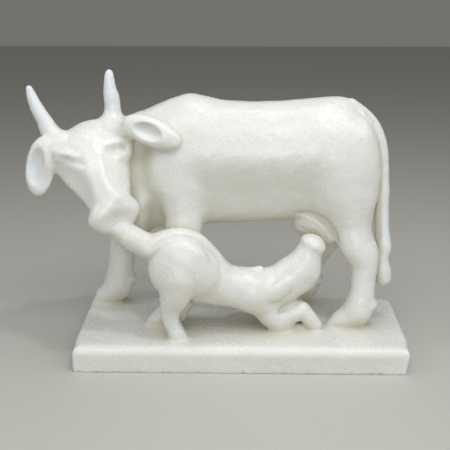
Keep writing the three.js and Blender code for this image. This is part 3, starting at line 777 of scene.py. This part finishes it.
def polished_marble(settings):
    """White marble with a crystal grain, soft clouds and file marks. Thin stone is painted with cool
    light, and hollows and undersides with warm shade, where the polish is also dull."""
    material = bpy.data.materials.new("polished_white_marble")
    material.use_nodes = True
    tree = material.node_tree
    tree.nodes.clear()
    out = node(tree, "ShaderNodeOutputMaterial", (1700, 0))
    shader = node(tree, "ShaderNodeBsdfPrincipled", (1400, 0))
    tree.links.new(shader.outputs["BSDF"], out.inputs["Surface"])
    where = node(tree, "ShaderNodeTexCoord", (-1200, 0)).outputs["Object"]
    hollow = node(tree, "ShaderNodeAttribute", (-1200, 600), attribute_name="hollow").outputs["Fac"]
    thinness = node(tree, "ShaderNodeAttribute", (-1200, 900), attribute_name="thinness").outputs["Fac"]
    grain = noise(tree, (-900, 300), where, GRAIN_SCALE, 2)
    clouds = noise(tree, (-900, 0), where, CLOUD_SCALE, 4)
    rolls = noise(tree, (-900, -300), where, ROLL_SCALE, 1)
    one_way = file_marks(tree, (-900, -600), where, turn=0.75, width=0.0009)
    other_way = file_marks(tree, (-900, -1000), where, turn=-0.55, width=0.001)
    strokes = maths(tree, (100, -600), "MAXIMUM", one_way, other_way)

    clouding = spread(tree, (-600, 0), clouds, (0.35, 0.7), (0, settings.clouding))
    cloudy = tinted(tree, (-300, 100), clouding, settings.stone_colour, settings.cloud_colour)
    crystals = tinted(tree, (-300, 350), grain, (0.55, 0.56, 0.53), (1, 1, 1))
    grained = tinted(tree, (0, 200), settings.grain, cloudy, crystals, "MULTIPLY")
    scratched = maths(tree, (200, -400), "MULTIPLY", strokes, 0.35)
    filed = tinted(tree, (400, 100), scratched, grained, (0.95, 0.95, 0.94))
    # Painted cool light on thin stone, as if light came through it
    coolness = maths(tree, (400, 700), "MULTIPLY", thinness, settings.coolness)
    cool = tinted(tree, (600, 300), coolness, filed, settings.thin_light_colour)
    # Painted shade: the warm colour laid into hollows and under the bellies, where shade falls
    painted_shade_strength = maths(tree, (400, 500), "MULTIPLY", hollow, settings.painted_shade_strength)
    warm = tinted(tree, (900, 200), painted_shade_strength, cool, settings.painted_shade_colour)
    tree.links.new(warm, shader.inputs["Base Color"])

    # The polish is uneven with the stone, and dull in the hollows.
    uneven = maths(tree, (-300, -150), "ADD", clouds, grain)
    roughness = (settings.polish, settings.polish + POLISH_SPREAD)
    polish = spread(tree, (0, -100), uneven, (0.8, 1.2), roughness)
    dullness = maths(tree, (400, 350), "MULTIPLY", hollow, 0.25)
    dulled = maths(tree, (700, -100), "ADD", polish, dullness)
    tree.links.new(dulled, shader.inputs["Roughness"])

    # Rolls and grain stand up in the surface, and the strokes cut into it.
    raised = maths(tree, (400, -600), "MULTIPLY", rolls, 1.25)
    pricked = maths(tree, (200, -800), "MULTIPLY", grain, 0.09)
    scored = maths(tree, (200, -1000), "MULTIPLY", strokes, 0.3)
    fine = maths(tree, (400, -800), "SUBTRACT", pricked, scored)
    height = maths(tree, (700, -600), "ADD", raised, fine)
    bump = node(tree, "ShaderNodeBump", (1100, -500))
    bump.inputs["Strength"].default_value = 1.0
    bump.inputs["Distance"].default_value = settings.bump_height
    tree.links.new(height, bump.inputs["Height"])
    tree.links.new(bump.outputs["Normal"], shader.inputs["Normal"])

    shader.inputs["Subsurface Weight"].default_value = settings.translucency
    shader.inputs["Subsurface Radius"].default_value = (1.0, 0.85, 0.7)
    shader.inputs["Subsurface Scale"].default_value = settings.glow_depth
    return material


# Settings that a user would change

class MarbleCowStone(bpy.types.PropertyGroup):
    grid_step: bpy.props.FloatProperty(
        name="Grid step", description="How finely the stone's surface is worked out",
        default=0.0011, min=0.0005, max=0.004, unit="LENGTH", precision=4)
    triangles: bpy.props.IntProperty(
        name="Triangles", description="How many triangles carry the finished surface",
        default=190000, min=20000, max=199000)
    stone_colour: bpy.props.FloatVectorProperty(
        name="Stone colour", description="Colour of the open, polished surfaces",
        default=(0.885, 0.885, 0.86), min=0, max=1, size=3, subtype="COLOR")
    cloud_colour: bpy.props.FloatVectorProperty(
        name="Cloud colour", description="Colour of the soft clouds in the stone",
        default=(0.81, 0.81, 0.77), min=0, max=1, size=3, subtype="COLOR")
    # Painted shade: the warm colour laid into hollows and undersides, where shade falls
    painted_shade_colour: bpy.props.FloatVectorProperty(
        name="Hollow colour", description="Colour of the stone deep in its hollows",
        default=(0.68, 0.64, 0.49), min=0, max=1, size=3, subtype="COLOR")
    # Painted light: the cool colour laid on thin stone, as if light came through it
    thin_light_colour: bpy.props.FloatVectorProperty(
        name="Thin colour", description="Colour of the stone where it is thin, as in horns and ears",
        default=(0.81, 0.86, 0.89), min=0, max=1, size=3, subtype="COLOR")
    clouding: bpy.props.FloatProperty(
        name="Clouding", description="Strength of the soft clouds",
        default=0.8, min=0, max=1, subtype="FACTOR")
    grain: bpy.props.FloatProperty(
        name="Grain", description="Strength of the crystal grain in the colour",
        default=0.17, min=0, max=1, subtype="FACTOR")
    # How strong the painted shade in hollows and undersides is
    painted_shade_strength: bpy.props.FloatProperty(
        name="Warmth", description="How far the hollows take on their own colour",
        default=0.66, min=0, max=1, subtype="FACTOR")
    # How strong the painted cool light on thin stone is
    coolness: bpy.props.FloatProperty(
        name="Coolness", description="How far thin stone takes on its own colour",
        default=0.75, min=0, max=1, subtype="FACTOR")
    polish: bpy.props.FloatProperty(
        name="Polish", description="Roughness of the best polished places",
        default=0.13, min=0.02, max=0.8, subtype="FACTOR")
    bump_height: bpy.props.FloatProperty(
        name="Surface marks", description="Height of the small marks of tool and grain",
        default=0.00035, min=0, max=0.003, unit="LENGTH", precision=5)
    translucency: bpy.props.FloatProperty(
        name="Translucency", description="Share of the light that enters the stone",
        default=0.6, min=0, max=1, subtype="FACTOR")
    glow_depth: bpy.props.FloatProperty(
        name="Glow depth", description="How far light travels inside the stone",
        default=0.006, min=0.0005, max=0.03, unit="LENGTH", precision=4)


class MarbleCowStudio(bpy.types.PropertyGroup):
    floor_colour: bpy.props.FloatVectorProperty(
        name="Floor colour", description="Colour of the plain studio floor",
        default=(0.58, 0.57, 0.53), min=0, max=1, size=3, subtype="COLOR")
    overhead_power: bpy.props.FloatProperty(
        name="Overhead light", description="Power of the soft light straight above the statue",
        default=1.8, min=0, unit="POWER")
    key_power: bpy.props.FloatProperty(
        name="Key light", description="Power of the soft light over the camera's right shoulder",
        default=2.4, min=0, unit="POWER")
    front_power: bpy.props.FloatProperty(
        name="Front lights",
        description="Power of the soft light above the camera; the one in front has more",
        default=1.7, min=0, unit="POWER")
    side_power: bpy.props.FloatProperty(
        name="Side lights",
        description="Power of the soft light high on the left; the one on the right has less",
        default=1.8, min=0, unit="POWER")
    lamp_power: bpy.props.FloatProperty(
        name="Lamp", description="Power of the small lamp overhead that glints on the polish",
        default=1.4, min=0, unit="POWER")
    sky_strength: bpy.props.FloatProperty(
        name="Room light", description="Strength of the even light from all around",
        default=0.17, min=0)


# The studio

# Worked out from the plinth's corners in the photograph: where the camera stands, in metres, how far
# it looks down and turns, and its focal length in the photograph's pixels
CAMERA_PLACE = Vector((-0.0009, -0.7201, 0.3482))
CAMERA_DOWN = math.radians(17.58)
CAMERA_TURN = math.radians(1.09)
FOCAL_PIXELS = 823.7
PHOTO_WIDTH = 450
SENSOR_WIDTH = 36.0

# Half the floor's width, and the place that the lights look at, in metres
FLOOR_HALF = 3.0
LIGHT_AIM = Vector((0, 0, 0.1))
FLOOR_ROUGHNESS = 0.6
# How the light in front compares with the one above the camera, and the right side with the left
FRONT_SHARE = 1.35
RIGHT_SHARE = 0.7
SOFT_WHITE = (0.98, 0.99, 1)
SIDE_WHITE = (0.97, 0.99, 1)
COOL_WHITE = (0.92, 0.97, 1)
ROOM_COLOUR = (1, 0.98, 0.92, 1)


def studio_floor(colour):
    """A wide pale floor at z = 0."""
    sheet = bpy.data.meshes.new("studio_floor")
    edge = [(x * FLOOR_HALF, y * FLOOR_HALF, 0) for x, y in ((-1, -1), (1, -1), (1, 1), (-1, 1))]
    sheet.from_pydata(edge, [], [(0, 1, 2, 3)])
    floor = bpy.data.objects.new("studio_floor", sheet)
    bpy.context.scene.collection.objects.link(floor)
    paint = bpy.data.materials.new("pale_floor")
    paint.use_nodes = True
    shader = paint.node_tree.nodes["Principled BSDF"]
    shader.inputs["Base Color"].default_value = (*colour, 1)
    shader.inputs["Roughness"].default_value = FLOOR_ROUGHNESS
    sheet.materials.append(paint)
    return floor


def even_light(scene, strength):
    """The even light from all around."""
    world = bpy.data.worlds.new("room")
    world.use_nodes = True
    background = world.node_tree.nodes["Background"]
    background.inputs["Color"].default_value = ROOM_COLOUR
    background.inputs["Strength"].default_value = strength
    scene.world = world


def soft_light(name, place, size, power, colour):
    """A rectangle of light that looks at the statue."""
    data = bpy.data.lights.new(name, "AREA")
    data.shape = "RECTANGLE"
    data.size, data.size_y = size
    data.energy = power
    data.color = colour
    light = bpy.data.objects.new(name, data)
    light.location = place
    light.rotation_euler = (LIGHT_AIM - Vector(place)).to_track_quat("-Z", "Y").to_euler()
    bpy.context.scene.collection.objects.link(light)


def photo_camera(scene):
    """The camera at the photograph's angle."""
    lens = bpy.data.cameras.new("photo_camera")
    lens.sensor_width = SENSOR_WIDTH
    lens.lens = SENSOR_WIDTH * FOCAL_PIXELS / PHOTO_WIDTH
    camera = bpy.data.objects.new("photo_camera", lens)
    camera.location = CAMERA_PLACE
    camera.rotation_euler = Euler((math.pi / 2 - CAMERA_DOWN, 0, CAMERA_TURN))
    scene.collection.objects.link(camera)
    scene.camera = camera


# Operators

class MARBLECOW_OT_carve(bpy.types.Operator):
    """Carve the cow, her calf and their plinth from one block of marble"""
    bl_idname = "marble_cow.carve"
    bl_label = "Carve cow and calf"

    def execute(self, context):
        stone = context.scene.marble_cow_stone
        block = carved_block(stone.grid_step / MM)
        mesh = mesh_of(block, "cow_and_calf_stone")
        if not mesh.polygons:
            raise RuntimeError("The carved block has no surface")
        statue = bpy.data.objects.new("cow_and_calf_stone", mesh)
        context.scene.collection.objects.link(statue)
        thin(statue, stone.triangles)
        sawn_flat(mesh)
        mesh.shade_smooth()
        mark_stone(block, mesh)
        mesh.materials.append(polished_marble(stone))
        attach(statue, "root")
        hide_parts(NODE)
        return {"FINISHED"}


class MARBLECOW_OT_stage(bpy.types.Operator):
    """Lay the studio floor, set its lights and place the camera at the photograph's angle"""
    bl_idname = "marble_cow.stage"
    bl_label = "Set the studio"

    def execute(self, context):
        studio = context.scene.marble_cow_studio
        floor = studio_floor(studio.floor_colour)
        even_light(context.scene, studio.sky_strength)
        for name, place, size, power, colour in (
            ("overhead", (0, 0, 1.2), (0.55, 0.45), studio.overhead_power, SOFT_WHITE),
            ("key", (0.45, -0.6, 0.9), (0.55, 0.45), studio.key_power, SOFT_WHITE),
            ("above_camera", (-0.15, -0.65, 0.93), (0.5, 0.4), studio.front_power, SOFT_WHITE),
            ("front", (0, -1.1, 0.35), (0.55, 0.45), FRONT_SHARE * studio.front_power, COOL_WHITE),
            ("side", (-0.8, -0.3, 0.8), (0.5, 0.4), studio.side_power, SIDE_WHITE),
            ("side", (0.8, -0.3, 0.8), (0.5, 0.4), RIGHT_SHARE * studio.side_power, SIDE_WHITE),
            ("lamp", (0.25, -0.3, 1.1), (0.05, 0.05), studio.lamp_power, (1, 1, 1)),
        ):
            soft_light(name, place, size, power, colour)
        photo_camera(context.scene)
        context.scene.view_settings.view_transform = "Standard"
        return {"FINISHED"}


class MARBLECOW_PT_panel(bpy.types.Panel):
    bl_label = "Marble cow and calf"
    bl_idname = "MARBLECOW_PT_panel"
    bl_space_type = "VIEW_3D"
    bl_region_type = "UI"
    bl_category = "Marble cow"

    def draw(self, context):
        for title, group, operator in (
            ("Stone", context.scene.marble_cow_stone, "marble_cow.carve"),
            ("Studio", context.scene.marble_cow_studio, "marble_cow.stage"),
        ):
            box = self.layout.box()
            box.label(text=title)
            for key in type(group).__annotations__:
                box.prop(group, key)
            box.operator(operator)


CLASSES = (MarbleCowStone, MarbleCowStudio, MARBLECOW_OT_carve, MARBLECOW_OT_stage, MARBLECOW_PT_panel)


def register():
    for made in CLASSES:
        bpy.utils.register_class(made)
    bpy.types.Scene.marble_cow_stone = bpy.props.PointerProperty(type=MarbleCowStone)
    bpy.types.Scene.marble_cow_studio = bpy.props.PointerProperty(type=MarbleCowStudio)


def unregister():
    del bpy.types.Scene.marble_cow_studio
    del bpy.types.Scene.marble_cow_stone
    for made in reversed(CLASSES):
        bpy.utils.unregister_class(made)


def main():
    register()
    bpy.ops.marble_cow.carve()
    bpy.ops.marble_cow.stage()


if __name__ == "__main__":
    main()
